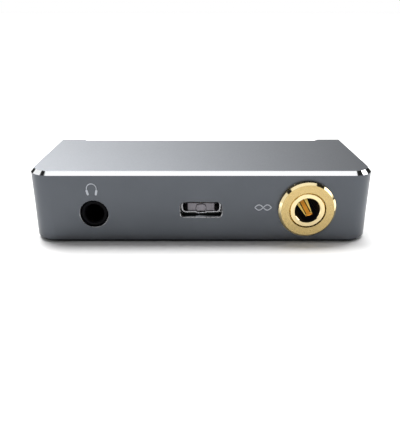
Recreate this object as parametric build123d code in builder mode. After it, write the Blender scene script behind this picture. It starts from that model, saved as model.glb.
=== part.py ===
from build123d import *

import os
from math import cos, radians, sin

# A plug-on digital-to-analogue converter and headphone amplifier. X runs along the front, Y from the
# front to the back, Z up from the flat bottom. Depths are measured from the front face of the housing.

# ---- Driving dimensions, millimetres -----------------------------------------------------------

# Housing: a milled aluminium cup, open at the back
width = 64.0
depth = 25.2
height = 14.0
corner_radius = 4.3
top_chamfer = 0.69
bottom_chamfer = 0.7
front_wall = 1.6
side_wall = 1.6
skin = 1.2
ear_step = 1.2
ear_inner_x = 25.6
ear_outer_x = 26.5
boss_inner_x = 27.4
boss_front = 13.0
boss_back = 20.6

# Balanced jack, for a 4.4 mm plug
balanced_x = 19.62
balanced_z = 6.95
balanced_bore_radius = 2.3
bush_radius = 3.32
bush_length = 2.65
bush_flange_radius = 4.3
ring_radius = 5.3
ring_height = 1.1
ring_chamfer = 0.4
balanced_body_width = 7.8
balanced_body_height = 7.2
balanced_body_front = 2.7
balanced_body_back = 21.6
balanced_chamber_radius = 2.6
balanced_chamber_back = 20.9

# Headphone jack, for a 3.5 mm plug
headphone_x = -19.98
headphone_z = 5.85
headphone_hole_radius = 2.65
headphone_nose_radius = 2.45
headphone_nose_recess = 0.3
headphone_bore_radius = 1.78
headphone_bore_back = 3.0
headphone_chamber_radius = 2.0
headphone_body_width = 6.2
headphone_body_height = 5.3
headphone_body_front = 1.9
headphone_body_back = 15.9
headphone_chamber_back = 15.2

# USB receptacle, micro-B
usb_slot_width = 7.7
usb_slot_bottom = 5.22
usb_slot_top = 8.12
usb_slot_low_radius = 0.65
usb_slot_high_radius = 1.05
usb_slot_chamfer = 0.12
usb_shell_front = 1.3
usb_shell_back = 6.2
usb_shell_top = 8.0
usb_shell_bottom = 5.7
usb_shell_half_width = 3.68
usb_dip = 0.18
usb_dip_half_width = 0.85
usb_wall = 0.2
usb_tongue_half_width = 2.5
usb_tongue_bottom = 5.98
usb_tongue_top = 7.45

# Circuit board
board_bottom = 4.2
board_thickness = 1.0
board_left = -27.0
board_right = 15.6
board_front = 2.2
board_back = 20.5
standoff_spots = [(-20.0, 18.6), (12.4, 18.6)]

# Back of the module: cover, dock plug, guide pins and steel tongues
cover_back = 23.6
cover_thickness = 1.6
cover_gap = 0.1
dock_z = 7.3
dock_width = 18.0
dock_height = 4.2
dock_wall = 0.35
dock_shell_front = 20.6
dock_shell_back = 27.2
guide_pin_x = 13.5
guide_pin_radius = 1.0
guide_pin_back = 27.6
tongue_reach = 5.0
tongue_inner_x = 25.2
tongue_thickness = 2.0
tongue_height = 5.4
tongue_hole_radius = 0.8
tongue_hole_depth = 27.4
cover_screw_x = 28.8
cover_screw_heights = (3.4, 10.6)

# Leaf contacts: name, clock angle about the jack's axis in degrees, depth of the free end, depth of the
# root, width of the free end. The wide sleeve contact is rooted at the front and opens towards the back.
balanced_leaves = [
    ("balanced_spring_sleeve", -63, 11.5, 2.2, 2.8),
    ("balanced_spring_ring_three", 24, 6.6, 11.8, 1.4),
    ("balanced_spring_ring_two", 88, 9.8, 15.0, 1.4),
    ("balanced_spring_ring_one", 160, 13.0, 18.2, 1.4),
    ("balanced_spring_tip", 232, 16.0, 20.4, 1.4),
]
headphone_leaves = [
    ("headphone_spring_sleeve", 0, 3.4, 7.2, 1.2),
    ("headphone_spring_ring", 180, 7.2, 11.0, 1.2),
    ("headphone_spring_detect", 270, 8.6, 12.4, 1.2),
    ("headphone_spring_tip", 90, 11.0, 14.8, 1.2),
]

# ---- Derived places ----------------------------------------------------------------------------

overshoot = 1.0
front_y = ring_height - (ring_height + depth + tongue_reach) / 2
back_y = front_y + depth
rim_y = back_y - ear_step
half_width = width / 2
board_top = board_bottom + board_thickness
cover_front = cover_back - cover_thickness
tongue_back = depth + tongue_reach


def at_depth(distance, x=0.0, z=0.0):
    """Plane parallel to the front face, its normal towards the front."""
    return Plane(origin=(x, front_y + distance, z), x_dir=(1, 0, 0), z_dir=(0, -1, 0))


def at_depth_facing_back(distance, x=0.0, z=0.0):
    """Plane parallel to the front face, its normal towards the back."""
    return Plane(origin=(x, front_y + distance, z), x_dir=(-1, 0, 0), z_dir=(0, 1, 0))


def block(x_range, depth_range, z_range, mode=Mode.ADD):
    """Box between two X places, two depths and two heights, in the part being built."""
    spans = (x_range, [front_y + distance for distance in depth_range], z_range)
    with Locations(tuple(sum(span) / 2 for span in spans)):
        Box(*(max(span) - min(span) for span in spans), mode=mode)


def rod(x, z, radius, depth_range, mode=Mode.ADD):
    """Cylinder along Y between two depths, in the part being built."""
    front, back = depth_range
    with Locations(at_depth(back, x, z)):
        Cylinder(radius, back - front, align=(Align.CENTER, Align.CENTER, Align.MIN), mode=mode)


def screw(head_plane, head_radius, head_height, shank_radius, length):
    """Countersunk screw with a hexagon socket, its head flush with a plane, in the part being built."""
    socket_radius = 0.45 * head_radius
    top = (Align.CENTER, Align.CENTER, Align.MAX)
    with Locations(head_plane):
        Cone(shank_radius, head_radius, head_height, align=top)
        Cylinder(shank_radius, length, align=top)
    with BuildSketch(head_plane) as socket:
        RegularPolygon(socket_radius, 6)
    extrude(socket.sketch, amount=-0.8 * head_height, mode=Mode.SUBTRACT)


def save(piece, label):
    """Label a finished piece and write it as its own file."""
    piece.part.label = label
    export_step(piece.part, f"parts/{label}.step")


os.makedirs("parts", exist_ok=True)

# ---- Housing -----------------------------------------------------------------------------------

thread_radius = 0.65
board_screw_hole_radius = 0.75
board_screw_head_radius = 1.5
boss_hole_length = 6.0
bush_hole_gap = 0.08
headphone_hole_chamfer = 0.06
tolerance = 0.01

with BuildPart() as housing:
    with BuildSketch(Plane.XY) as outline:
        with BuildLine():
            Polyline(
                (0, front_y),
                (half_width, front_y),
                (half_width, back_y),
                (ear_outer_x, back_y),
                (ear_inner_x, rim_y),
                (0, rim_y),
            )
            mirror(about=Plane.YZ)
        make_face()
        front_corners = outline.vertices().group_by(Axis.Y)[0].filter_by(lambda v: abs(v.X) > ear_outer_x)
        fillet(front_corners, radius=corner_radius)
    extrude(amount=height)

    # Polished chamfer round the front and sides of the top, and a plain one round the bottom
    rim_limit = rim_y - overshoot
    top_rim = housing.faces().sort_by(Axis.Z)[-1].edges().filter_by(lambda e: e.center().Y < rim_limit)
    chamfer(top_rim, length=top_chamfer)
    bottom_rim = housing.faces().sort_by(Axis.Z)[0].edges().filter_by(lambda e: e.center().Y < rim_limit)
    chamfer(bottom_rim, length=bottom_chamfer)

    # Cavity, open at the back
    cavity_front_y = front_y + front_wall
    cavity_length = back_y + skin - cavity_front_y
    with BuildSketch(Plane.XY.offset(skin)) as cavity:
        with Locations((0, cavity_front_y + cavity_length / 2)):
            Rectangle(width - 2 * side_wall, cavity_length)
        fillet(cavity.vertices().group_by(Axis.Y)[0], radius=corner_radius - side_wall)
    extrude(amount=height - 2 * skin, mode=Mode.SUBTRACT)

    # Screw bosses in the two sides
    for side in (-1, 1):
        boss_span = (side * boss_inner_x, side * (half_width - side_wall / 2))
        block(boss_span, (boss_front, boss_back), (skin / 2, height - skin / 2))
        for z in cover_screw_heights:
            hole_span = (boss_back - boss_hole_length, boss_back)
            rod(side * cover_screw_x, z, thread_radius, hole_span, Mode.SUBTRACT)

    # Openings of the front wall: balanced jack, headphone jack and USB slot
    hole_depths = (-overshoot, front_wall + overshoot)
    rod(balanced_x, balanced_z, bush_radius + bush_hole_gap, hole_depths, Mode.SUBTRACT)
    with Locations(at_depth(0, headphone_x, headphone_z)):
        mouth_radius = headphone_hole_radius + headphone_hole_chamfer
        CounterSinkHole(headphone_hole_radius, mouth_radius, front_wall + overshoot, 90)
    slot_height = usb_slot_top - usb_slot_bottom
    usb_slot_z = (usb_slot_top + usb_slot_bottom) / 2
    with BuildSketch(at_depth(0, 0, usb_slot_z)) as slot:
        Rectangle(usb_slot_width, slot_height)
        fillet(slot.vertices().group_by(Axis.Y)[0], radius=usb_slot_low_radius)
        fillet(slot.vertices().group_by(Axis.Y)[-1], radius=usb_slot_high_radius)
    extrude(amount=-front_wall - overshoot, mode=Mode.SUBTRACT)
    face_edges = housing.edges().filter_by_position(Axis.Y, front_y - tolerance, front_y + tolerance)
    near_slot = face_edges.filter_by(lambda e: abs(e.center().X) < usb_slot_width / 2 + tolerance)
    slot_rim = near_slot.filter_by(lambda e: abs(e.center().Z - usb_slot_z) < slot_height / 2 + tolerance)
    chamfer(slot_rim, length=usb_slot_chamfer)

    # Countersunk holes in the floor for the board screws
    for x, distance in standoff_spots:
        with Locations(Plane(origin=(x, front_y + distance, 0), x_dir=(1, 0, 0), z_dir=(0, 0, -1))):
            CounterSinkHole(board_screw_hole_radius, board_screw_head_radius, skin + overshoot, 90)
save(housing, "housing")

# ---- Balanced jack -----------------------------------------------------------------------------

groove = 0.09
bush_recess = 0.05
flange_gap = 0.02
socket_front = front_wall + 0.1
spigot_front = front_wall + 0.15
bush_lead_in = 0.12
bush_outer_chamfer = 0.2
bush_socket_radius = 3.0
spigot_radius = 2.95

with BuildPart() as balanced_ring_nut:
    rod(balanced_x, balanced_z, ring_radius, (-ring_height, 0))
    rod(balanced_x, balanced_z, bush_radius + groove, (-ring_height, 0), Mode.SUBTRACT)
    ring_front = balanced_ring_nut.edges().filter_by(GeomType.CIRCLE).group_by(Axis.Y)[0]
    chamfer(ring_front.sort_by(SortBy.RADIUS)[-1], length=ring_chamfer)
save(balanced_ring_nut, "balanced_ring_nut")

with BuildPart() as balanced_bush:
    bush_front = bush_recess - ring_height
    rod(balanced_x, balanced_z, bush_radius, (bush_front, socket_front))
    rod(balanced_x, balanced_z, bush_flange_radius, (front_wall + flange_gap, bush_length))
    rod(balanced_x, balanced_z, balanced_bore_radius, (bush_front, bush_length), Mode.SUBTRACT)
    rod(balanced_x, balanced_z, bush_socket_radius, (socket_front, bush_length), Mode.SUBTRACT)
    mouth_edges = balanced_bush.edges().filter_by(GeomType.CIRCLE).group_by(Axis.Y)[0].sort_by(SortBy.RADIUS)
    chamfer(mouth_edges[0], length=bush_lead_in)
    chamfer(mouth_edges[-1], length=bush_outer_chamfer)
save(balanced_bush, "balanced_bush")


leaf_toe = 0.6
leaf_toe_lift = 0.18
leaf_slit = 0.2
leaf_unslit_share = 0.1
leaf_end_gap = 0.35
leaf_root_gap = 0.05


def leaf_plane(x, z, angle, offset=0.0):
    """Plane through a jack's axis: its X runs along the depth, its Y outwards at the clock angle."""
    tangent = (sin(radians(angle)), 0, -cos(radians(angle)))
    origin = (x + offset * tangent[0], front_y, z + offset * tangent[2])
    return Plane(origin=origin, x_dir=(0, 1, 0), z_dir=tangent)


def leaf_contact(x, z, leaf, contact_radius, root_radius, root_width, thickness, knuckle, fingers):
    """Leaf spring with a rolled root, split into fingers at its free end, in the part being built."""
    angle, free_end, root, free_width = leaf[1:]
    reach = 1 if free_end > root else -1
    crest = free_end - leaf_toe * reach
    with BuildSketch(leaf_plane(x, z, angle)) as profile:
        with BuildLine():
            Polyline(
                (free_end, contact_radius + leaf_toe_lift),
                (crest, contact_radius),
                (root, root_radius - thickness / 2),
                (root, root_radius + thickness / 2),
                (crest, contact_radius + thickness),
                (free_end, contact_radius + leaf_toe_lift + thickness),
                close=True,
            )
        make_face()
        with Locations((root, root_radius)):
            Circle(knuckle)
    extrude(profile.sketch, amount=max(root_width, free_width) / 2, both=True)
    outwards = (cos(radians(angle)), 0, sin(radians(angle)))
    with BuildSketch(Plane(origin=(x, front_y, z), x_dir=(0, 1, 0), z_dir=outwards)) as plan:
        with BuildLine():
            Polyline(
                (root - knuckle * reach, -root_width / 2),
                (root, -root_width / 2),
                (free_end, -free_width / 2),
                (free_end, free_width / 2),
                (root, root_width / 2),
                (root - knuckle * reach, root_width / 2),
                close=True,
            )
        make_face()
    extrude(plan.sketch, amount=root_radius + overshoot, mode=Mode.INTERSECT)
    slit_root = root + leaf_unslit_share * (free_end - root)
    slit_end = free_end + reach
    for number in range(1, fingers):
        offset = free_width * (number / fingers - 0.5)
        with BuildSketch(leaf_plane(x, z, angle, offset)) as cut:
            with Locations(((slit_root + slit_end) / 2, (contact_radius + root_radius) / 2)):
                Rectangle(abs(slit_end - slit_root), 2 * (root_radius - contact_radius))
        extrude(cut.sketch, amount=leaf_slit / 2, both=True, mode=Mode.SUBTRACT)


def leaf_slot(x, z, leaf, root_radius, root_width, knuckle, side_gap):
    """Slot in a jack's body for one leaf contact, with running clearance round the rolled root."""
    angle, free_end, root, free_width = leaf[1:]
    reach = 1 if free_end > root else -1
    slot_ends = (free_end + leaf_end_gap * reach, root - (knuckle + leaf_root_gap) * reach)
    slot_top = root_radius + knuckle + leaf_root_gap
    with BuildSketch(leaf_plane(x, z, angle)) as slot:
        with Locations((sum(slot_ends) / 2, slot_top / 2)):
            Rectangle(abs(slot_ends[1] - slot_ends[0]), slot_top)
    extrude(slot.sketch, amount=max(root_width, free_width) / 2 + side_gap, both=True, mode=Mode.SUBTRACT)


leaf_gap = 0.12
balanced_leaf = {"root_radius": 2.6, "root_width": 1.2, "knuckle": 0.3}
headphone_leaf = {"root_radius": 2.15, "root_width": 1.2, "knuckle": 0.22}

balanced_body_chamfer = 0.5
with BuildPart() as balanced_jack_body:
    half_body_width = balanced_body_width / 2
    half_body_height = balanced_body_height / 2
    block(
        (balanced_x - half_body_width, balanced_x + half_body_width),
        (balanced_body_front, balanced_body_back),
        (balanced_z - half_body_height, balanced_z + half_body_height),
    )
    chamfer(balanced_jack_body.edges().filter_by(Axis.Y), length=balanced_body_chamfer)
    rod(balanced_x, balanced_z, spigot_radius, (spigot_front, balanced_body_front))
    chamber_span = (front_wall, balanced_chamber_back)
    rod(balanced_x, balanced_z, balanced_chamber_radius, chamber_span, Mode.SUBTRACT)
    for leaf in balanced_leaves:
        leaf_slot(balanced_x, balanced_z, leaf, side_gap=leaf_gap, **balanced_leaf)
save(balanced_jack_body, "balanced_jack_body")

for leaf in balanced_leaves:
    with BuildPart() as balanced_spring:
        leaf_contact(balanced_x, balanced_z, leaf, 2.0, thickness=0.15, fingers=3, **balanced_leaf)
    save(balanced_spring, leaf[0])

# ---- Headphone jack ----------------------------------------------------------------------------

headphone_body_chamfer = 0.3
nose_lead_in = 0.2
nose_rounding = 0.15
with BuildPart() as headphone_jack_body:
    half_body_width = headphone_body_width / 2
    half_body_height = headphone_body_height / 2
    block(
        (headphone_x - half_body_width, headphone_x + half_body_width),
        (headphone_body_front, headphone_body_back),
        (headphone_z - half_body_height, headphone_z + half_body_height),
    )
    chamfer(headphone_jack_body.edges().filter_by(Axis.Y), length=headphone_body_chamfer)
    nose_span = (headphone_nose_recess, headphone_body_front)
    rod(headphone_x, headphone_z, headphone_nose_radius, nose_span)
    bore_span = (headphone_nose_recess, headphone_bore_back)
    rod(headphone_x, headphone_z, headphone_bore_radius, bore_span, Mode.SUBTRACT)
    chamber_span = (headphone_bore_back, headphone_chamber_back)
    rod(headphone_x, headphone_z, headphone_chamber_radius, chamber_span, Mode.SUBTRACT)
    nose_circles = headphone_jack_body.edges().filter_by(GeomType.CIRCLE).group_by(Axis.Y)[0]
    nose_edges = nose_circles.sort_by(SortBy.RADIUS)
    chamfer(nose_edges[0], length=nose_lead_in)
    fillet(nose_edges[-1], radius=nose_rounding)
    for leaf in headphone_leaves:
        leaf_slot(headphone_x, headphone_z, leaf, side_gap=leaf_gap, **headphone_leaf)
save(headphone_jack_body, "headphone_jack_body")

for leaf in headphone_leaves:
    with BuildPart() as headphone_spring:
        leaf_contact(headphone_x, headphone_z, leaf, 1.6, thickness=0.12, fingers=1, **headphone_leaf)
    save(headphone_spring, leaf[0])

# ---- Solder tails of the two jacks -------------------------------------------------------------

tail_thickness = 0.15
tail_width = 0.8
tail_foot = 1.0
tail_rise = 1.4


def solder_tail(body_side_x, side, distance):
    """Bent tail from a jack's side down onto the board, in the part being built."""
    wall_span = (body_side_x, body_side_x + side * tail_thickness)
    foot_span = (body_side_x, body_side_x + side * tail_foot)
    depth_span = (distance - tail_width / 2, distance + tail_width / 2)
    block(wall_span, depth_span, (board_top, board_top + tail_rise))
    block(foot_span, depth_span, (board_top, board_top + tail_thickness))


with BuildPart() as balanced_terminals:
    for distance in (5.0, 8.4, 11.8, 15.2, 18.6):
        solder_tail(balanced_x - balanced_body_width / 2, -1, distance)
save(balanced_terminals, "balanced_terminals")

with BuildPart() as headphone_terminals:
    for side in (-1, 1):
        for distance in (5.2, 12.6):
            solder_tail(headphone_x + side * headphone_body_width / 2, side, distance)
save(headphone_terminals, "headphone_terminals")

# ---- USB receptacle ----------------------------------------------------------------------------


usb_corner_inset = 0.15
usb_corner_height = 1.0
usb_low_radius = 0.75
usb_high_radius = 0.9


def usb_outline(inset):
    """Outline of the micro-B shell, drawn in by an inset, in the sketch being built."""
    side_x = usb_shell_half_width - inset
    low_side_x = side_x - usb_corner_inset
    low_z = usb_shell_bottom + inset
    dip_x = usb_dip_half_width - inset / 2
    with BuildLine() as edge:
        Polyline(
            (0, low_z - usb_dip),
            (dip_x, low_z - usb_dip),
            (dip_x + usb_dip, low_z),
            (low_side_x, low_z),
            (side_x, low_z + usb_corner_height),
            (side_x, usb_shell_top - inset),
            (0, usb_shell_top - inset),
        )
        mirror(about=Plane.YZ)
    make_face(edge.edges())


def usb_prism(inset, depth_range, mode=Mode.ADD):
    """Prism of the shell's outline with rounded corners, in the part being built."""
    front, back = depth_range
    with BuildSketch(at_depth(back)) as profile:
        usb_outline(inset)
        side_x = usb_shell_half_width - 2 * usb_corner_inset - inset
        low_corners = profile.vertices().filter_by(lambda v: abs(v.X) > side_x).group_by(Axis.Y)[0]
        fillet(low_corners, radius=usb_low_radius - inset)
        high_corners = profile.vertices().filter_by(lambda v: abs(v.X) > side_x).group_by(Axis.Y)[-1]
        fillet(high_corners, radius=usb_high_radius - inset)
    extrude(profile.sketch, amount=back - front, mode=mode)


usb_tab_reach = 0.85
usb_tab_depths = (2.6, 4.6)
usb_tab_thickness = 0.3
usb_tab_overlap = 0.1
usb_riser_thickness = 0.15
usb_riser_height = 1.2
with BuildPart() as usb_shell:
    usb_prism(0, (usb_shell_front, usb_shell_back))
    usb_prism(usb_wall, (usb_shell_front - overshoot, usb_shell_back + overshoot), Mode.SUBTRACT)
    for side in (-1, 1):
        inner_x = side * (usb_shell_half_width - usb_tab_overlap)
        tab_span = (inner_x, side * (usb_shell_half_width + usb_tab_reach))
        block(tab_span, usb_tab_depths, (board_top, board_top + usb_tab_thickness))
        riser_span = (inner_x, side * (usb_shell_half_width + usb_riser_thickness))
        block(riser_span, usb_tab_depths, (board_top, usb_shell_bottom + usb_riser_height))
save(usb_shell, "usb_shell")

usb_back_wall = 4.9
usb_tongue_front = 1.55
usb_key_front = 1.4
usb_key_width = 1.75
usb_key_top = 7.22
usb_key_radius = 0.6
usb_key_groove = 0.15
usb_groove_depth = 0.6
usb_fit = 0.02
usb_block_recess = 0.1
with BuildPart() as usb_tongue:
    tongue_span = (-usb_tongue_half_width, usb_tongue_half_width)
    block(tongue_span, (usb_tongue_front, usb_back_wall), (usb_tongue_bottom, usb_tongue_top))

    # Raised key with a round top, set off by a groove
    for grow, depths, mode in (
        (usb_key_groove, (usb_tongue_front, usb_tongue_front + usb_groove_depth), Mode.SUBTRACT),
        (0, (usb_key_front, usb_tongue_front + usb_groove_depth), Mode.ADD),
    ):
        key_height = usb_key_top + grow - usb_tongue_bottom
        with BuildSketch(at_depth(depths[1], 0, usb_tongue_bottom + key_height / 2)) as key:
            Rectangle(usb_key_width + 2 * grow, key_height)
            fillet(key.vertices().group_by(Axis.Y)[-1], radius=usb_key_radius + grow)
        extrude(amount=depths[1] - depths[0], mode=mode)
    usb_prism(usb_wall + usb_fit, (usb_back_wall, usb_shell_back - usb_block_recess))
save(usb_tongue, "usb_tongue")

usb_contact_thickness = 0.08
usb_contact_width = 0.3
usb_contact_pitch = 0.65
usb_contact_recess = 0.2
with BuildPart() as usb_contacts:
    for number in range(-2, 3):
        x = number * usb_contact_pitch
        contact_span = (x - usb_contact_width / 2, x + usb_contact_width / 2)
        contact_heights = (usb_tongue_top, usb_tongue_top + usb_contact_thickness)
        block(contact_span, (usb_tongue_front + usb_contact_recess, usb_back_wall), contact_heights)
save(usb_contacts, "usb_contacts")

# ---- Circuit board and what is on it -----------------------------------------------------------

board_clearance = 0.15
board_corner_chamfer = 0.5
with BuildPart() as main_board:
    block((board_left, board_right), (board_front, board_back), (board_bottom, board_top))
    chamfer(main_board.edges().filter_by(Axis.Z), length=board_corner_chamfer)
    notch_half_width = headphone_body_width / 2 + board_clearance
    block(
        (headphone_x - notch_half_width, headphone_x + notch_half_width),
        (board_front - overshoot, headphone_body_back + board_clearance),
        (board_bottom, board_top),
        Mode.SUBTRACT,
    )
    for x, distance in standoff_spots:
        with Locations((x, front_y + distance, board_top)):
            Hole(board_screw_hole_radius)
save(main_board, "main_board")

film_thickness = 0.15
standoff_radius = 1.6
film_hole_gap = 0.2
with BuildPart() as insulating_film:
    block((board_left, board_right), (board_front, board_back), (skin, skin + film_thickness))
    for x, distance in standoff_spots:
        with Locations((x, front_y + distance, skin + film_thickness)):
            Hole(standoff_radius + film_hole_gap)
save(insulating_film, "insulating_film")

board_screw_radius = 0.6
thread_gap = 0.02
screw_recess = 0.08
screw_head_radius = 1.38
screw_head_height = 0.75
board_screw_length = 3.8
with BuildPart() as board_standoffs:
    for x, distance in standoff_spots:
        with Locations((x, front_y + distance, skin)):
            Cylinder(standoff_radius, board_bottom - skin, align=(Align.CENTER, Align.CENTER, Align.MIN))
            Cylinder(
                board_screw_radius + thread_gap,
                board_bottom - skin,
                align=(Align.CENTER, Align.CENTER, Align.MIN),
                mode=Mode.SUBTRACT,
            )
save(board_standoffs, "board_standoffs")

with BuildPart() as board_screws:
    for x, distance in standoff_spots:
        head_centre = (x, front_y + distance, screw_recess)
        head_plane = Plane(origin=head_centre, x_dir=(1, 0, 0), z_dir=(0, 0, -1))
        screw(head_plane, screw_head_radius, screw_head_height, board_screw_radius, board_screw_length)
save(board_screws, "board_screws")


def chips(label, size, spots, edge=0.12):
    """Write one node of equal components that stand on the board at (x, depth) spots."""
    with BuildPart() as group:
        for x, distance in spots:
            with Locations((x, front_y + distance, board_top)):
                Box(*size, align=(Align.CENTER, Align.CENTER, Align.MIN))
        chamfer(group.faces().group_by(Axis.Z)[-1].edges(), length=edge)
    save(group, label)


chips("usb_bridge_chip", (6.0, 6.0, 0.9), [(-1.0, 10.4)])
chips("dac_chip", (5.0, 5.0, 0.9), [(-12.2, 9.8)])
chips("clock_oscillators", (2.5, 3.2, 0.9), [(-7.6, 9.2), (-7.6, 13.4)])
chips("voltage_regulators", (3.0, 3.0, 0.9), [(-12.8, 14.2), (0.6, 15.2)])
chips("output_op_amps", (3.0, 3.0, 0.8), [(x, d) for x in (5.4, 9.2) for d in (9.0, 13.0)])
chips("logic_chips", (2.0, 3.0, 1.1), [(-25.2, 6.0), (-25.2, 10.2)])
chips("polymer_capacitors", (2.8, 3.5, 1.9), [(12.5, d) for d in (6.0, 10.2, 14.4)], 0.2)
chips("film_capacitors", (3.3, 3.6, 1.8), [(6.9, 5.0)], 0.15)
chips("power_inductors", (3.0, 3.0, 1.6), [(-3.2, 15.4), (-12.8, 18.8)], 0.3)
chips("ferrite_beads", (1.6, 0.8, 0.8), [(-7.0, 4.4), (-10.0, 4.4), (-13.0, 4.4)])
resistor_columns = (4.4, 5.4, 6.4, 8.2, 9.2, 10.2)
chips("chip_resistors", (0.5, 0.4, 0.3), [(x, d) for x in resistor_columns for d in (11.0, 15.2)], 0.05)
capacitor_spots = [(x, 16.4) for x in (4.6, 6.8, 9.0)] + [(-25.2, d) for d in (13.0, 14.4, 17.6)]
chips("chip_capacitors", (1.6, 0.8, 0.8), capacitor_spots + [(-16.0, 17.6), (-16.0, 19.4)])

shield_left, shield_right, shield_front, shield_back = -15.4, -5.4, 6.8, 16.4
shield_wall = 0.3
shield_height = 2.2
shield_lid_thickness = 0.25
with BuildPart() as shield_frame:
    shield_heights = (board_top, board_top + shield_height)
    block((shield_left, shield_right), (shield_front, shield_back), shield_heights)
    block(
        (shield_left + shield_wall, shield_right - shield_wall),
        (shield_front + shield_wall, shield_back - shield_wall),
        shield_heights,
        Mode.SUBTRACT,
    )
save(shield_frame, "shield_frame")

vent_pitch = 2.2
vent_radius = 0.5
with BuildPart() as shield_lid:
    lid_bottom = board_top + shield_height
    lid_heights = (lid_bottom, lid_bottom + shield_lid_thickness)
    block((shield_left, shield_right), (shield_front, shield_back), lid_heights)
    lid_centre = ((shield_left + shield_right) / 2, front_y + (shield_front + shield_back) / 2, lid_bottom)
    with Locations(lid_centre):
        with GridLocations(vent_pitch, vent_pitch, 3, 3):
            Cylinder(vent_radius, overshoot, mode=Mode.SUBTRACT)
save(shield_lid, "shield_lid")

# ---- Back of the module ------------------------------------------------------------------------

cover_screw_shank_radius = 0.62
cover_screw_length = 7.4
cover_screw_hole_radius = 0.8
cover_screw_head_radius = 1.5
pin_root_radius = 0.8
pin_fit = 0.01
pin_root_length = 0.6
pin_point = 0.35
window_gap = 0.1
window_radius = 1.1
cover_corner_radius = 0.4
arm_span = (tongue_inner_x, tongue_inner_x + tongue_thickness)
arm_z = height / 2

with BuildPart() as rear_cover:
    with BuildSketch(at_depth(cover_back, 0, height / 2)):
        cover_width = width - 2 * side_wall - 2 * cover_gap
        cover_height = height - 2 * skin - 2 * cover_gap
        RectangleRounded(cover_width, cover_height, cover_corner_radius)
    extrude(amount=cover_thickness)
    with BuildSketch(at_depth(cover_back, 0, dock_z)):
        RectangleRounded(dock_width + 2 * window_gap, dock_height + 2 * window_gap, window_radius)
    extrude(amount=cover_thickness, mode=Mode.SUBTRACT)
    for side in (-1, 1):
        rod(side * guide_pin_x, dock_z, pin_root_radius + pin_fit, (cover_front, cover_back), Mode.SUBTRACT)
        block(
            (side * (arm_span[0] - window_gap), side * (arm_span[1] + window_gap)),
            (cover_front, cover_back),
            (arm_z - tongue_height / 2 - window_gap, arm_z + tongue_height / 2 + window_gap),
            Mode.SUBTRACT,
        )
        for z in cover_screw_heights:
            with Locations(at_depth_facing_back(cover_back, side * cover_screw_x, z)):
                CounterSinkHole(cover_screw_hole_radius, cover_screw_head_radius, cover_thickness, 90)
save(rear_cover, "rear_cover")

with BuildPart() as rear_cover_screws:
    for side in (-1, 1):
        for z in cover_screw_heights:
            head_plane = at_depth_facing_back(cover_back - screw_recess, side * cover_screw_x, z)
            screw(
                head_plane,
                screw_head_radius,
                screw_head_height,
                cover_screw_shank_radius,
                cover_screw_length,
            )
save(rear_cover_screws, "rear_cover_screws")

with BuildPart() as guide_pins:
    for side in (-1, 1):
        rod(side * guide_pin_x, dock_z, pin_root_radius, (cover_front - pin_root_length, cover_back))
        rod(side * guide_pin_x, dock_z, guide_pin_radius, (cover_back, guide_pin_back))
    chamfer(guide_pins.edges().filter_by(GeomType.CIRCLE).group_by(Axis.Y)[-1], length=pin_point)
save(guide_pins, "guide_pins")

foot_outer_x = 30.2
foot_bottom, foot_top = 2.0, 12.0
foot_inset = 0.2
foot_gap = 0.05
tongue_end_radius = 1.5
for side, label in ((-1, "dock_tongue_left"), (1, "dock_tongue_right")):
    with BuildPart() as dock_tongue:
        foot_span = (side * (tongue_inner_x - foot_inset), side * foot_outer_x)
        block(foot_span, (boss_back + foot_gap, cover_front - foot_gap), (foot_bottom, foot_top))
        arm_heights = (arm_z - tongue_height / 2, arm_z + tongue_height / 2)
        block((side * arm_span[0], side * arm_span[1]), (boss_back + foot_gap, tongue_back), arm_heights)
        fillet(dock_tongue.edges().filter_by(Axis.X).group_by(Axis.Y)[-1], radius=tongue_end_radius)
        hole_centre = (side * sum(arm_span) / 2, front_y + tongue_hole_depth, arm_z)
        with Locations(Location(hole_centre, (0, 90, 0))):
            Cylinder(tongue_hole_radius, tongue_thickness, mode=Mode.SUBTRACT)
        for z in cover_screw_heights:
            rod(side * cover_screw_x, z, cover_screw_hole_radius, (boss_back, cover_front), Mode.SUBTRACT)
    save(dock_tongue, label)

dock_block_front = 17.4
dock_wall_back = 21.2
dock_blade_back = 26.6
dock_blade_half_width = 7.4
dock_blade_half_height = 0.5
dock_block_margin = 0.4
dock_block_drop = 0.2
dock_fit = 0.02
dock_block_radius = 0.6
dock_shell_radius = 1.0
with BuildPart() as dock_plug_body:
    block(
        (-dock_width / 2 - dock_block_margin, dock_width / 2 + dock_block_margin),
        (dock_block_front, dock_shell_front),
        (board_top, dock_z + dock_height / 2 - dock_block_drop),
    )
    with BuildSketch(at_depth(dock_wall_back, 0, dock_z)):
        inner_width = dock_width - 2 * (dock_wall + dock_fit)
        inner_height = dock_height - 2 * (dock_wall + dock_fit)
        RectangleRounded(inner_width, inner_height, dock_block_radius)
    extrude(amount=dock_wall_back - dock_shell_front)
    block(
        (-dock_blade_half_width, dock_blade_half_width),
        (dock_wall_back, dock_blade_back),
        (dock_z - dock_blade_half_height, dock_z + dock_blade_half_height),
    )
save(dock_plug_body, "dock_plug_body")

with BuildPart() as dock_plug_shell:
    with BuildSketch(at_depth(dock_shell_back, 0, dock_z)):
        RectangleRounded(dock_width, dock_height, dock_shell_radius)
        inner_size = (dock_width - 2 * dock_wall, dock_height - 2 * dock_wall)
        RectangleRounded(*inner_size, dock_shell_radius - dock_wall, mode=Mode.SUBTRACT)
    extrude(amount=dock_shell_back - dock_shell_front)
save(dock_plug_shell, "dock_plug_shell")

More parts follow.
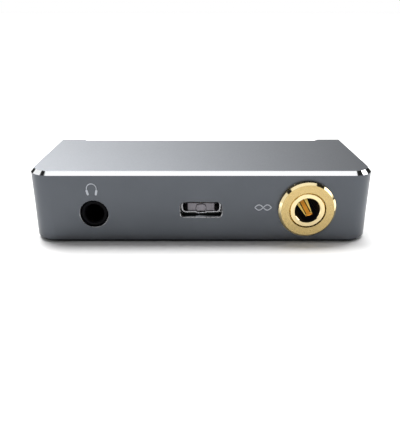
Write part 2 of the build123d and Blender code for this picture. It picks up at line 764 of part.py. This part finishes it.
dock_contact_pitch = 1.15
dock_contact_width = 0.5
dock_contact_thickness = 0.1
dock_contact_recess = 0.4
dock_contact_count = 12
with BuildPart() as dock_plug_contacts:
    for number in range(dock_contact_count):
        x = (number - (dock_contact_count - 1) / 2) * dock_contact_pitch
        contact_span = (x - dock_contact_width / 2, x + dock_contact_width / 2)
        for side in (-1, 1):
            face_z = dock_z + side * dock_blade_half_height
            contact_heights = (face_z, face_z + side * dock_contact_thickness)
            block(contact_span, (dock_wall_back, dock_blade_back - dock_contact_recess), contact_heights)
save(dock_plug_contacts, "dock_plug_contacts")
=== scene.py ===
"""Looks of a plug-on digital-to-analogue converter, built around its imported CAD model."""

from math import atan, cos, pi, radians, sin, tan

import bmesh
import bpy
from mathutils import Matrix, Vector


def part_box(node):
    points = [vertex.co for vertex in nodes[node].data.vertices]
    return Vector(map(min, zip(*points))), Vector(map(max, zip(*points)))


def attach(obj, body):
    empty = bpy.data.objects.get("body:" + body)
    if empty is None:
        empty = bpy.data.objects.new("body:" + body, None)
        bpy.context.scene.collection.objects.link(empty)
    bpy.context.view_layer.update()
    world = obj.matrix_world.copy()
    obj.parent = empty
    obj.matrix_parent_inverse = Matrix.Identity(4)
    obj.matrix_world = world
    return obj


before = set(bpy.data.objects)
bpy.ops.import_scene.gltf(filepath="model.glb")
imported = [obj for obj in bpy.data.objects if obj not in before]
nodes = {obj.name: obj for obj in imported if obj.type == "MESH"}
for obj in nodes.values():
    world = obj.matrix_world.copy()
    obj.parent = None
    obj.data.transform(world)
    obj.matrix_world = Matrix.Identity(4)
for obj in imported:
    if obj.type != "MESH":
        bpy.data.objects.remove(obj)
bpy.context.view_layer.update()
scene = bpy.context.scene
scene.view_settings.view_transform = "Standard"

MM = 0.001

# ---- Places read from the frame ----------------------------------------------------------------

housing_low, housing_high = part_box("housing")
ring_low, ring_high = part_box("balanced_ring_nut")
headphone_low, headphone_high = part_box("headphone_jack_body")
usb_low, usb_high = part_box("usb_shell")

front_y = housing_low.y
balanced_x = (ring_low.x + ring_high.x) / 2
balanced_z = (ring_low.z + ring_high.z) / 2
headphone_x = (headphone_low.x + headphone_high.x) / 2
headphone_z = (headphone_low.z + headphone_high.z) / 2

# ---- Camera ------------------------------------------------------------------------------------

# Worked out from the photo; the pitch is in degrees below level
IMAGE_HEIGHT = 437
SENSOR = 36.0
FOCAL_PIXELS = 493.6
CAMERA_X = -0.20 * MM
CAMERA_DISTANCE = 85.5 * MM
CAMERA_HEIGHT = 40.46 * MM
CAMERA_PITCH = 22.56
CAMERA_CLIP = 5 * MM
camera_data = bpy.data.cameras.new("camera")
camera_data.sensor_width = SENSOR
camera_data.lens = FOCAL_PIXELS * SENSOR / IMAGE_HEIGHT
camera_data.clip_start = CAMERA_CLIP
camera = bpy.data.objects.new("camera", camera_data)
camera.location = (CAMERA_X, front_y - CAMERA_DISTANCE, CAMERA_HEIGHT)
camera.rotation_euler = (radians(90 - CAMERA_PITCH), 0, 0)
scene.collection.objects.link(camera)
scene.camera = camera

# ---- Node helpers ------------------------------------------------------------------------------


def add_node(tree, kind, settings=(), inputs=()):
    """Adds a shader node, with its properties and its input values or links."""
    node = tree.nodes.new(kind)
    for name, value in dict(settings).items():
        setattr(node, name, value)
    for name, value in dict(inputs).items():
        if isinstance(value, bpy.types.NodeSocket):
            tree.links.new(value, node.inputs[name])
        else:
            node.inputs[name].default_value = value
    return node


def maths(tree, operation, *values):
    """Result of a Math node on values or sockets."""
    return add_node(tree, "ShaderNodeMath", {"operation": operation}, dict(enumerate(values))).outputs[0]


def ramp(tree, value, start, end, low, high):
    """Smooth step of a socket from low, at start, to high, at end."""
    inputs = {"Value": value, "From Min": start, "From Max": end, "To Min": low, "To Max": high}
    settings = {"interpolation_type": "SMOOTHSTEP"}
    return add_node(tree, "ShaderNodeMapRange", settings, inputs).outputs[0]


def rising(tree, value, edge):
    """Smooth step from 0 to 1 over an edge, which is (start, end)."""
    return ramp(tree, value, *edge, 0, 1)


def falling(tree, value, edge):
    """Smooth step from 1 to 0 over an edge, which is (start, end)."""
    return ramp(tree, value, *edge, 1, 0)


# ---- Floor and studio light --------------------------------------------------------------------

FLOOR_HALF = 20.0
FLOOR_COLOUR = (0.88, 0.88, 0.88, 1)
FLOOR_ROUGHNESS = 0.9
FLOOR_SPECULAR = 0.2
floor_mesh = bpy.data.meshes.new("floor")
floor_corners = [(-1, -1), (1, -1), (1, 1), (-1, 1)]
floor_points = [(x * FLOOR_HALF, y * FLOOR_HALF, 0) for x, y in floor_corners]
floor_mesh.from_pydata(floor_points, [], [(0, 1, 2, 3)])
floor = bpy.data.objects.new("floor", floor_mesh)
scene.collection.objects.link(floor)
floor_material = bpy.data.materials.new("floor_paper")
floor_material.use_nodes = True
floor_shader = floor_material.node_tree.nodes["Principled BSDF"]
floor_shader.inputs["Base Color"].default_value = FLOOR_COLOUR
floor_shader.inputs["Roughness"].default_value = FLOOR_ROUGHNESS
floor_shader.inputs["Specular IOR Level"].default_value = FLOOR_SPECULAR
floor_mesh.materials.append(floor_material)

# Strengths of the tent's panels, of its dark seams and of the white that the camera sees
OVERHEAD_PANEL = 1.1
LEFT_PANEL = 0.96
RIGHT_PANEL = 3.2
BACK_LEFT = 22.2
BACK_RIGHT = 1.0
LOW_FRONT = 0.42
SEAM = 0.02
BACKDROP = 1.0

# Seams between the overhead strip and the side panels, in units of height
LOWEST_HEIGHT = 0.001
RIGHT_SEAM_SKEW = 1.3
STRIP_LEFT = (0.38, 0.46)
STRIP_RIGHT = (0.2, 0.3)
STRIP_FRONT_SKEW = -0.17
STRIP_FRONT = (-0.44, -0.40)
STRIP_BACK = (-0.26, -0.21)
LEFT_PANEL_EDGE = (0.88, 0.97)
RIGHT_PANEL_EDGE = (1.05, 1.15)

# Where the walls start and end, as parts of a unit direction
ON_LEFT = (-0.3, -0.1)
ON_RIGHT = (0.1, 0.3)
SIDE_CHANGE = (-0.1, 0.1)
LEFT_PANEL_FRONT = (-0.48, -0.42)
RIGHT_PANEL_FRONT = (-0.24, -0.16)
BACK_WALL = (0.45, 0.8)
BACK_FADE = (-0.5, 0.5)
BEHIND = (-0.05, 0.1)
LEAST_BACK = 0.05
BACK_FOOT_SLOPE = (0.36, 0.66)
LEFT_FOOT_SPAN = (-0.6, -0.5)
LEFT_FOOT_HEIGHT = 0.36
RIGHT_FOOT_SPAN = (0.5, 0.6)
RIGHT_FOOT_HEIGHT = 0.46
FOOT_SOFTNESS = (-0.015, 0.015)
LOW_FRONT_DEPTH = (-0.6, -0.4)
LOW_FRONT_HEIGHT = (0.3, 0.5)

# Lamp overhead: degrees, metres and watts per square metre
KEY_TILT = 12.2
KEY_DEPTH_ANGLE = 17.0
KEY_WIDTH_ANGLE = 50.0
KEY_DISTANCE = 0.8
KEY_IRRADIANCE = 3.6


def overhead_strip(tree, across, back, left_edge, right_edge):
    """Strip overhead towards the front, between the two seams."""
    front_edge = maths(tree, "MULTIPLY_ADD", across, STRIP_FRONT_SKEW, back)
    inside_left = falling(tree, left_edge, STRIP_LEFT)
    inside_right = falling(tree, right_edge, STRIP_RIGHT)
    between_seams = maths(tree, "MULTIPLY", inside_left, inside_right)
    behind_front = rising(tree, front_edge, STRIP_FRONT)
    before_back = falling(tree, back, STRIP_BACK)
    deep_enough = maths(tree, "MULTIPLY", behind_front, before_back)
    return maths(tree, "MULTIPLY", between_seams, deep_enough)


def side_panels(tree, axes, left_edge, right_edge):
    """Panels beyond the seams."""
    on_left = falling(tree, axes["X"], ON_LEFT)
    past_left = maths(tree, "MULTIPLY", rising(tree, left_edge, LEFT_PANEL_EDGE), on_left)
    left_panel = maths(tree, "MULTIPLY", rising(tree, axes["Y"], LEFT_PANEL_FRONT), past_left)
    on_right = rising(tree, axes["X"], ON_RIGHT)
    past_right = maths(tree, "MULTIPLY", rising(tree, right_edge, RIGHT_PANEL_EDGE), on_right)
    right_panel = maths(tree, "MULTIPLY", rising(tree, axes["Y"], RIGHT_PANEL_FRONT), past_right)
    return maths(tree, "MAXIMUM", left_panel, right_panel)


def walls_and_foot(tree, axes, sides):
    """Side panels, and the back wall, which is brighter on the left, all above a dark foot."""
    is_back = rising(tree, axes["Y"], BACK_WALL)
    back_strength = ramp(tree, axes["X"], *BACK_FADE, BACK_LEFT, BACK_RIGHT)
    side_strength = ramp(tree, axes["X"], *SIDE_CHANGE, LEFT_PANEL, RIGHT_PANEL)
    strengths = {"Factor": is_back, "A": side_strength, "B": back_strength}
    outer = add_node(tree, "ShaderNodeMix", inputs=strengths).outputs["Result"]

    # Foot of the back wall
    slope = maths(tree, "DIVIDE", axes["Z"], maths(tree, "MAXIMUM", axes["Y"], LEAST_BACK))
    not_behind = falling(tree, axes["Y"], BEHIND)
    above_foot = maths(tree, "MAXIMUM", rising(tree, slope, BACK_FOOT_SLOPE), not_behind)
    shown = maths(tree, "MULTIPLY", maths(tree, "MAXIMUM", sides, is_back), above_foot)
    walls = maths(tree, "MULTIPLY", outer, shown)

    # Foot of the side panels, where they turn into the back wall
    left_foot = ramp(tree, axes["X"], *LEFT_FOOT_SPAN, LEFT_FOOT_HEIGHT, 0)
    right_foot = ramp(tree, axes["X"], *RIGHT_FOOT_SPAN, 0, RIGHT_FOOT_HEIGHT)
    above = maths(tree, "SUBTRACT", axes["Z"], maths(tree, "ADD", left_foot, right_foot))
    beyond_foot = maths(tree, "MAXIMUM", rising(tree, above, FOOT_SOFTNESS), not_behind)
    return maths(tree, "MULTIPLY", walls, beyond_foot)


def light_tent():
    """World light of a product tent: a strip overhead towards the front, panels at the sides and a bright
    back wall, with dark seams between them, which the polished edges pick up. Directions are divided by
    their height, so that the edge of a flat panel is a straight line."""
    world = bpy.data.worlds.new("light_tent")
    world.use_nodes = True
    scene.world = world
    tree = world.node_tree
    tree.nodes.clear()
    direction = add_node(tree, "ShaderNodeTexCoord").outputs["Generated"]
    axes = add_node(tree, "ShaderNodeSeparateXYZ", inputs={0: direction}).outputs
    height = maths(tree, "MAXIMUM", axes["Z"], LOWEST_HEIGHT)
    across = maths(tree, "DIVIDE", axes["X"], height)
    back = maths(tree, "DIVIDE", axes["Y"], height)
    left_edge = maths(tree, "SUBTRACT", back, across)
    right_edge = maths(tree, "MULTIPLY_ADD", back, RIGHT_SEAM_SKEW, across)
    overhead = overhead_strip(tree, across, back, left_edge, right_edge)
    walls = walls_and_foot(tree, axes, side_panels(tree, axes, left_edge, right_edge))

    # Faint light low in front, which mostly shows on the top when it is seen from behind
    in_front = falling(tree, axes["Y"], LOW_FRONT_DEPTH)
    low_front = maths(tree, "MULTIPLY", in_front, falling(tree, axes["Z"], LOW_FRONT_HEIGHT))
    walls = maths(tree, "MULTIPLY_ADD", low_front, LOW_FRONT, walls)

    # The camera sees a plain white backdrop, and everything else sees the panels
    panels = maths(tree, "MULTIPLY_ADD", overhead, OVERHEAD_PANEL, walls)
    strength = maths(tree, "MAXIMUM", panels, SEAM)
    white = (1, 1, 1, 1)
    lit = add_node(tree, "ShaderNodeBackground", inputs={"Color": white, "Strength": strength})
    plain = add_node(tree, "ShaderNodeBackground", inputs={"Color": white, "Strength": BACKDROP})
    seen = add_node(tree, "ShaderNodeLightPath").outputs["Is Camera Ray"]
    mix = add_node(tree, "ShaderNodeMixShader", inputs={0: seen, 1: lit.outputs[0], 2: plain.outputs[0]})
    add_node(tree, "ShaderNodeOutputWorld", inputs={"Surface": mix.outputs[0]})


def key_light():
    """Broad soft lamp overhead and a little behind, wider than it is deep."""
    lamp = bpy.data.lights.new("key_light", "AREA")
    lamp.shape = "RECTANGLE"
    lamp.size = 2 * KEY_DISTANCE * tan(radians(KEY_WIDTH_ANGLE) / 2)
    lamp.size_y = 2 * KEY_DISTANCE * tan(radians(KEY_DEPTH_ANGLE) / 2)
    lamp.energy = KEY_IRRADIANCE * pi * KEY_DISTANCE**2
    holder = bpy.data.objects.new("key_light", lamp)
    tilt = radians(KEY_TILT)
    holder.location = (0, KEY_DISTANCE * sin(tilt), KEY_DISTANCE * cos(tilt))
    holder.rotation_euler = (-tilt, 0, 0)
    holder.visible_glossy = False
    scene.collection.objects.link(holder)


# Narrow lamps: irradiances in watts per square metre
SNOOT_DISTANCE = 150 * MM
SNOOT_BLEND = 0.4
SNOOT_LENS_RADIUS = 3 * MM


def snoot(name, target, azimuth, elevation, spread, irradiance):
    """Narrow lamp in front of the object that looks into one socket and lights little round it. spread is the
    radius of its spot, and the two angles, in degrees, say where it stands as seen from the target."""
    turn, rise = radians(azimuth), radians(elevation)
    towards = Vector((cos(rise) * sin(turn), -cos(rise) * cos(turn), sin(rise)))
    lamp = bpy.data.lights.new(name, "SPOT")
    lamp.spot_size = 2 * atan(spread / SNOOT_DISTANCE)
    lamp.spot_blend = SNOOT_BLEND
    lamp.shadow_soft_size = SNOOT_LENS_RADIUS
    lamp.energy = irradiance * 4 * pi * SNOOT_DISTANCE**2
    holder = bpy.data.objects.new(name, lamp)
    holder.location = target + SNOOT_DISTANCE * towards
    holder.rotation_euler = towards.to_track_quat("Z", "Y").to_euler()
    scene.collection.objects.link(holder)


key_light()
light_tent()
USB_AIM_RISE = 0.3 * MM
balanced_aim = Vector((balanced_x, front_y, balanced_z))
usb_aim = Vector((0, front_y, (usb_low.z + usb_high.z) / 2 + USB_AIM_RISE))
snoot("balanced_snoot", balanced_aim, azimuth=-12, elevation=20, spread=3.0 * MM, irradiance=12.0)
snoot("usb_snoot", usb_aim, azimuth=-4, elevation=28, spread=3.4 * MM, irradiance=2.6)

# ---- Materials ---------------------------------------------------------------------------------

# Noise of the grain: a fine pattern, which is mixed with a broad one for the colour
FINE_DETAIL = 3.0
FINE_ROUGHNESS = 0.6
BROAD_SCALE = 0.04
BROAD_DETAIL = 2.0
COLOUR_STOPS = (0.25, 0.75)
ROUGHNESS_STOPS = (0.3, 0.7)

# Noise of the grinding lines, drawn out along one axis
LINE_STRETCH = 0.02
LINE_DETAIL = 2.0

MOULDED = (0.18, 0.1, 0.15, 0.002)


def vector_maths(tree, operation, *values):
    """Vector Math node on values or sockets."""
    return add_node(tree, "ShaderNodeVectorMath", {"operation": operation}, dict(enumerate(values)))


def bump(tree, pattern, height, normal):
    """Normal of a bump of a pattern, its height in mm, on top of another one if there is one."""
    inputs = {"Height": pattern, "Distance": height * MM, "Strength": 1.0}
    if normal:
        inputs["Normal"] = normal
    return add_node(tree, "ShaderNodeBump", inputs=inputs).outputs[0]


def finish(name, colour, roughness, metallic=0.0, grain=None, lathe=None, brushed=None, **sockets):
    """Principled material with a fine surface.
    grain is (size in mm, colour share, roughness share, height in mm) of speckle or moulding texture.
    lathe is (x, z, pitch in mm, height in mm) of turning lines about an axis along Y.
    brushed is (axis, pitch in mm, height in mm) of straight grinding lines along that axis."""
    material = bpy.data.materials.new(name)
    material.use_nodes = True
    tree = material.node_tree
    shader = tree.nodes["Principled BSDF"]
    shader.inputs["Base Color"].default_value = (*colour, 1)
    shader.inputs["Metallic"].default_value = metallic
    shader.inputs["Roughness"].default_value = roughness
    for socket, value in sockets.items():
        shader.inputs[socket.replace("_", " ")].default_value = value
    place = add_node(tree, "ShaderNodeTexCoord").outputs["Object"]
    normal = None
    if grain:
        size, colour_share, roughness_share, height = grain
        settings = {"Vector": place, "Scale": 1 / (size * MM), "Detail": FINE_DETAIL}
        settings["Roughness"] = FINE_ROUGHNESS
        noise = add_node(tree, "ShaderNodeTexNoise", inputs=settings).outputs[0]
        broad_settings = {"Vector": place, "Scale": BROAD_SCALE / (size * MM), "Detail": BROAD_DETAIL}
        broad = add_node(tree, "ShaderNodeTexNoise", inputs=broad_settings).outputs[0]
        mixed = maths(tree, "MULTIPLY_ADD", broad, 0.5, maths(tree, "MULTIPLY", noise, 0.5))
        shades = add_node(tree, "ShaderNodeValToRGB", inputs={"Fac": mixed})
        for element, stop, side in zip(shades.color_ramp.elements, COLOUR_STOPS, (-1, 1)):
            element.position = stop
            element.color = (*[min(1, c * (1 + side * colour_share)) for c in colour], 1)
        tree.links.new(shades.outputs["Color"], shader.inputs["Base Color"])
        low, high = roughness * (1 - roughness_share), roughness * (1 + roughness_share)
        varied = ramp(tree, noise, *ROUGHNESS_STOPS, low, high)
        tree.links.new(varied, shader.inputs["Roughness"])
        normal = bump(tree, noise, height, normal)
    if lathe:
        x, z, pitch, height = lathe
        centred = vector_maths(tree, "SUBTRACT", place, (x, 0, z))
        flat = vector_maths(tree, "MULTIPLY", centred.outputs[0], (1, 0, 1))
        radius = vector_maths(tree, "LENGTH", flat.outputs[0]).outputs["Value"]
        inputs = {"W": radius, "Scale": 1 / (pitch * MM)}
        ridge = add_node(tree, "ShaderNodeTexNoise", {"noise_dimensions": "1D"}, inputs).outputs[0]
        normal = bump(tree, ridge, height, normal)
    if brushed:
        axis, pitch, height = brushed
        stretch = [LINE_STRETCH if index == axis else 1.0 for index in range(3)]
        lines = vector_maths(tree, "MULTIPLY", place, stretch).outputs[0]
        inputs = {"Vector": lines, "Scale": 1 / (pitch * MM), "Detail": LINE_DETAIL}
        scratch = add_node(tree, "ShaderNodeTexNoise", inputs=inputs).outputs[0]
        normal = bump(tree, scratch, height, normal)
    if normal:
        tree.links.new(normal, shader.inputs["Normal"])
    return material


anodised = finish("anodised_aluminium", (0.0755, 0.0815, 0.091), 0.36, 1.0, grain=(0.16, 0.05, 0.08, 0.0012))
rim_edge = finish("bare_rim_aluminium", (0.5, 0.5, 0.51), 0.28, 1.0, grain=(0.5, 0.01, 0.1, 0.0001))
cut_edge = finish("cut_edge_aluminium", (0.91, 0.92, 0.93), 0.06, 1.0, grain=(0.5, 0.01, 0.2, 0.0001))
ring_gold = finish(
    "turned_gold",
    (0.39, 0.29, 0.125),
    0.26,
    1.0,
    grain=(0.4, 0.03, 0.1, 0.0004),
    lathe=(balanced_x, balanced_z, 0.05, 0.0015),
)
polished_gold = finish("polished_gold", (0.86, 0.72, 0.42), 0.06, 1.0, grain=(0.4, 0.02, 0.1, 0.0002))
bush_gold = finish(
    "bush_gold",
    (0.58, 0.47, 0.265),
    0.12,
    1.0,
    grain=(0.4, 0.02, 0.1, 0.0002),
    lathe=(balanced_x, balanced_z, 0.04, 0.0004),
)
contact_gold = finish("contact_gold", (0.95, 0.62, 0.16), 0.2, 1.0, grain=(0.3, 0.04, 0.15, 0.0005))
spring_gold = finish("spring_gold", (0.98, 0.68, 0.18), 0.35, 0.4, grain=(0.3, 0.04, 0.15, 0.0005))
# Darker amber copy of the spring gold, as painted shade: it stands in for the shade and the orange of light
# bouncing between gold walls on the middle finger of the sleeve contact
spring_painted_shade = finish("spring_painted_shade", (0.66, 0.27, 0.03), 0.4, 0.4, grain=(0.3, 0.04, 0.15, 0.0005))
plain_brass = finish("plain_brass", (0.72, 0.56, 0.28), 0.3, 1.0, grain=(0.3, 0.05, 0.15, 0.0008))
stainless = finish(
    "stainless_steel", (0.6, 0.6, 0.61), 0.24, 1.0, grain=(0.4, 0.03, 0.1, 0.0005), brushed=(1, 0.05, 0.002)
)
shell_steel = finish("shell_steel", (0.3, 0.3, 0.31), 0.3, 1.0, grain=(0.25, 0.05, 0.2, 0.0012))
tinned = finish("tinned_steel", (0.68, 0.68, 0.7), 0.3, 1.0, grain=(0.25, 0.05, 0.2, 0.0012))
black_oxide = finish("black_oxide_steel", (0.06, 0.06, 0.065), 0.38, 1.0, grain=(0.2, 0.1, 0.15, 0.001))
jack_plastic = finish("jack_plastic", (0.0022, 0.0022, 0.003), 0.5, grain=MOULDED, Specular_IOR_Level=0.05)
black_plastic = finish("black_plastic", (0.004, 0.004, 0.005), 0.36, grain=MOULDED, Specular_IOR_Level=0.3)
tongue_plastic = finish("tongue_plastic", (0.13, 0.12, 0.135), 0.5, grain=(0.15, 0.06, 0.12, 0.002))
board_resist = finish("circuit_board", (0.008, 0.01, 0.01), 0.3, grain=(0.5, 0.15, 0.1, 0.002))
film = finish("polyimide_film", (0.6, 0.26, 0.04), 0.25, grain=(0.6, 0.06, 0.1, 0.002))
chip_epoxy = finish("chip_epoxy", (0.028, 0.028, 0.03), 0.55, grain=(0.08, 0.25, 0.1, 0.003))
capacitor_epoxy = finish("capacitor_epoxy", (0.55, 0.34, 0.07), 0.45, grain=(0.1, 0.1, 0.1, 0.002))
capacitor_ceramic = finish("capacitor_ceramic", (0.4, 0.28, 0.17), 0.5, grain=(0.06, 0.12, 0.1, 0.002))
resistor_ceramic = finish("resistor_ceramic", (0.03, 0.03, 0.034), 0.25, grain=(0.06, 0.15, 0.1, 0.001))
ferrite = finish("ferrite", (0.09, 0.09, 0.095), 0.6, grain=(0.08, 0.2, 0.1, 0.003))
print_ink = finish("print_ink", (0.43, 0.45, 0.49), 0.45, grain=(0.05, 0.05, 0.1, 0.0005))

NODE_FINISH = {
    anodised: ["housing"],
    ring_gold: ["balanced_ring_nut"],
    bush_gold: ["balanced_bush"],
    contact_gold: [
        "balanced_terminals",
        "headphone_terminals",
        "usb_contacts",
        "dock_plug_contacts",
    ],
    spring_gold: [name for name in nodes if "_spring_" in name],
    plain_brass: ["board_standoffs"],
    stainless: ["dock_tongue_left", "dock_tongue_right", "guide_pins", "dock_plug_shell"],
    shell_steel: ["usb_shell"],
    tinned: ["shield_frame", "shield_lid", "clock_oscillators"],
    black_oxide: ["board_screws", "rear_cover_screws"],
    jack_plastic: ["balanced_jack_body", "headphone_jack_body"],
    black_plastic: ["dock_plug_body", "rear_cover"],
    tongue_plastic: ["usb_tongue"],
    board_resist: ["main_board"],
    film: ["insulating_film"],
    chip_epoxy: ["usb_bridge_chip", "dac_chip", "voltage_regulators", "output_op_amps", "logic_chips"],
    capacitor_epoxy: ["polymer_capacitors", "film_capacitors"],
    capacitor_ceramic: ["chip_capacitors"],
    resistor_ceramic: ["chip_resistors"],
    ferrite: ["power_inductors", "ferrite_beads"],
}
for material, names in NODE_FINISH.items():
    for name in names:
        mesh = nodes[name].data
        mesh.materials.clear()
        mesh.materials.append(material)

# ---- Bright cut edges --------------------------------------------------------------------------

CHAMFER_SLOPE = (0.6, 0.8)
TOP_EDGE_DEPTH = 0.8 * MM
WALL_MARGIN = 2 * MM
RIM_DEPTH = 0.2 * MM
BUSH_BORE_LIMIT = 2.6 * MM
LEVEL_SLOPE = 0.3
SLEEVE_ANGLE = radians(-63)
FINGER_HALF_WIDTH = 0.36 * MM


def polish(node, material, is_edge):
    """Gives one more material to the polygons of a node that a test of centre and normal picks out."""
    mesh = nodes[node].data
    mesh.materials.append(material)
    for polygon in mesh.polygons:
        if is_edge(polygon.center, polygon.normal):
            polygon.material_index = len(mesh.materials) - 1


def is_slanted(slope):
    """Whether one part of a normal is that of a chamfer of 45 degrees."""
    return CHAMFER_SLOPE[0] < abs(slope) < CHAMFER_SLOPE[1]


def is_top_edge(centre, normal):
    """Chamfer round the top of the housing."""
    return centre.z > housing_high.z - TOP_EDGE_DEPTH and is_slanted(normal.z)


def is_opening_rim(centre, normal):
    """Small chamfers round the headphone hole and the USB slot."""
    in_front_wall = housing_low.z + WALL_MARGIN < centre.z < housing_high.z - WALL_MARGIN
    return in_front_wall and centre.y < front_y + RIM_DEPTH and is_slanted(normal.y)


def is_turned_chamfer(centre, normal):
    """Chamfer of a part turned about an axis along Y."""
    return is_slanted(normal.y)


def is_bush_bore(centre, normal):
    """Inner wall of the bush, behind its lead-in."""
    x, z = centre.x - balanced_x, centre.z - balanced_z
    faces_axis = x * normal.x + z * normal.z < 0
    return x * x + z * z < BUSH_BORE_LIMIT**2 and abs(normal.y) < LEVEL_SLOPE and faces_axis


def is_painted_shade_finger(centre, normal):
    """Finger of the sleeve contact between its two slits, which gets the darker amber copy of the spring gold
    as painted shade.
    """
    x, z = centre.x - balanced_x, centre.z - balanced_z
    return abs(z * cos(SLEEVE_ANGLE) - x * sin(SLEEVE_ANGLE)) < FINGER_HALF_WIDTH


polish("housing", cut_edge, is_top_edge)
polish("housing", rim_edge, is_opening_rim)
polish("balanced_ring_nut", polished_gold, is_turned_chamfer)
polish("balanced_bush", polished_gold, is_turned_chamfer)
polish("balanced_bush", jack_plastic, is_bush_bore)
# Painted shade: the middle finger of the sleeve contact gets the darker amber copy of the spring gold
polish("balanced_spring_sleeve", spring_painted_shade, is_painted_shade_finger)

# ---- Printed marks on the front ----------------------------------------------------------------

INK_THICKNESS = 0.012 * MM
INK_SINK = 0.002 * MM


def printed(name, outlines):
    """Thin printed shape on the front face, from closed outlines of (x, z) points in metres."""
    mesh = bpy.data.meshes.new(name)
    shape = bmesh.new()
    for outline in outlines:
        back = [shape.verts.new((x, front_y + INK_SINK, z)) for x, z in outline]
        front = [shape.verts.new((x, front_y - INK_THICKNESS, z)) for x, z in outline]
        count = len(outline)
        shape.faces.new(front)
        shape.faces.new(back[::-1])
        for index in range(count):
            following = (index + 1) % count
            shape.faces.new((back[index], back[following], front[following], front[index]))
    bmesh.ops.recalc_face_normals(shape, faces=shape.faces)
    shape.to_mesh(mesh)
    shape.free()
    mesh.materials.append(print_ink)
    piece = bpy.data.objects.new(name, mesh)
    scene.collection.objects.link(piece)
    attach(piece, "module")


def ribbon(path, stroke):
    """Closed outline of a stroke of constant width along a path of (x, z) points."""
    left, right = [], []
    for index, point in enumerate(path):
        before = Vector(path[max(index - 1, 0)])
        after = Vector(path[min(index + 1, len(path) - 1)])
        along = (after - before).normalized()
        across = Vector((-along.y, along.x)) * stroke / 2
        left.append(tuple(Vector(point) + across))
        right.append(tuple(Vector(point) - across))
    return left + right[::-1]


ROUND_END_STEPS = 12


def capsule(centre, length, breadth, tilt):
    """Closed outline of an upright rounded bar, tilted by an angle."""
    outline = []
    half_straight = (length - breadth) / 2
    for end, shift in ((0, half_straight), (1, -half_straight)):
        for step in range(ROUND_END_STEPS + 1):
            angle = pi * (end + step / ROUND_END_STEPS)
            x = breadth / 2 * cos(angle)
            z = breadth / 2 * sin(angle) + shift
            turned_x = x * cos(tilt) - z * sin(tilt)
            turned_z = x * sin(tilt) + z * cos(tilt)
            outline.append((centre[0] + turned_x, centre[1] + turned_z))
    return outline


# Headphone symbol: a band, which starts and sweeps by degrees, and two ear pads
SYMBOL_X = headphone_x - 0.12 * MM
SYMBOL_Z = headphone_z + 4.95 * MM
BAND_RADIUS = 0.9 * MM
BAND_STROKE = 0.14 * MM
BAND_START = -8
BAND_SWEEP = 196
BAND_STEPS = 32
BAND_STRETCH = 1.08
EAR_OFFSET = 0.82 * MM
EAR_DROP = 0.72 * MM
EAR_LENGTH = 1.1 * MM
EAR_BREADTH = 0.38 * MM
EAR_TILT = radians(13)
band = []
for step in range(BAND_STEPS + 1):
    angle = radians(BAND_START + BAND_SWEEP * step / BAND_STEPS)
    band_z = SYMBOL_Z + BAND_STRETCH * BAND_RADIUS * sin(angle)
    band.append((SYMBOL_X + BAND_RADIUS * cos(angle), band_z))
ears = []
for side in (-1, 1):
    ear_centre = (SYMBOL_X + side * EAR_OFFSET, SYMBOL_Z - EAR_DROP)
    ears.append(capsule(ear_centre, EAR_LENGTH, EAR_BREADTH, -side * EAR_TILT))
printed("headphone_symbol", [ribbon(band, BAND_STROKE), *ears])

# Balanced mark: two sine waves, one the mirror image of the other
WAVE_X = balanced_x - 8.08 * MM
WAVE_LENGTH = 3.1 * MM
WAVE_HEIGHT = 0.52 * MM
WAVE_STROKE = 0.17 * MM
WAVE_RISE = 0.2 * MM
WAVE_STEPS = 40
for number, side in ((1, -1), (2, 1)):
    wave = []
    for step in range(WAVE_STEPS + 1):
        share = step / WAVE_STEPS
        x = WAVE_X + (share - 0.5) * WAVE_LENGTH
        wave.append((x, balanced_z + WAVE_RISE + side * WAVE_HEIGHT * sin(2 * pi * share)))
    printed(f"balanced_mark_{number}", [ribbon(wave, WAVE_STROKE)])
